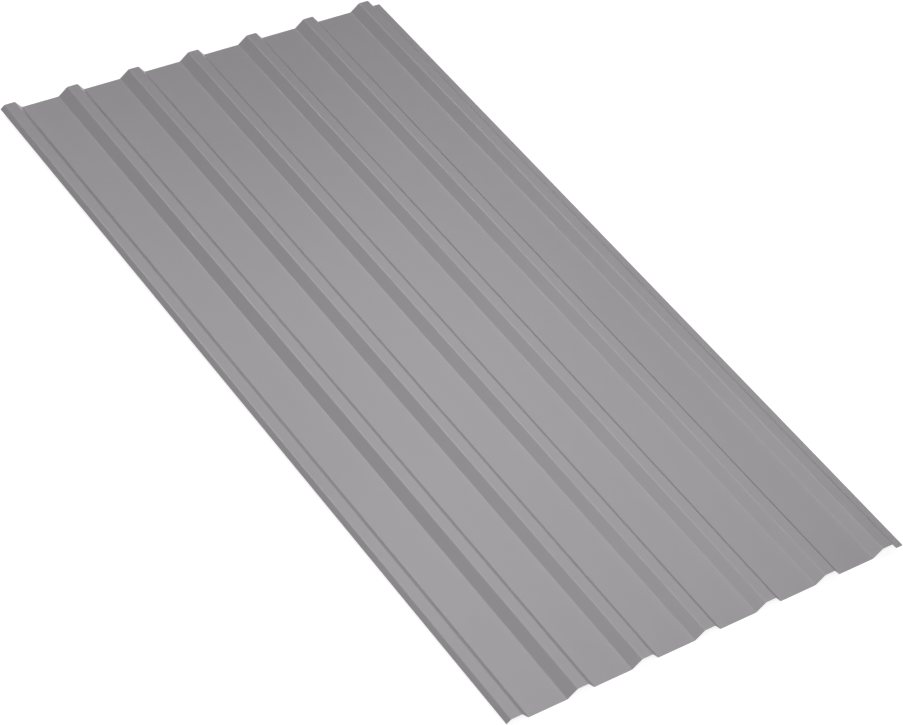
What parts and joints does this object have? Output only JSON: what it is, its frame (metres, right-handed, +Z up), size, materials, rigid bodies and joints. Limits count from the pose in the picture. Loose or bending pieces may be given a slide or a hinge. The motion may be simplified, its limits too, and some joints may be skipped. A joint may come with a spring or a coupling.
{
  "type": "ribbed steel roofing sheet",
  "caption": "Long roll-formed steel sheet with evenly spaced trapezoidal ribs and flat pans, a short lap flank on one edge and a narrow bearing leg on the other, painted grey.",
  "frame": {"origin": "middle of the sheet's outline, on the plane that the pans' undersides rest on", "axes": "+X across the ribs from the lap flank to the bearing leg, +Y along the ribs, +Z up out of the weather face"},
  "size_m": [0.9842, 1.8288, 0.0208],
  "materials": {
    "painted_steel": "satin grey coil paint"
  },
  "bodies": {
    "root": {"roofing_sheet": "painted_steel"}
  },
  "joints": []
}
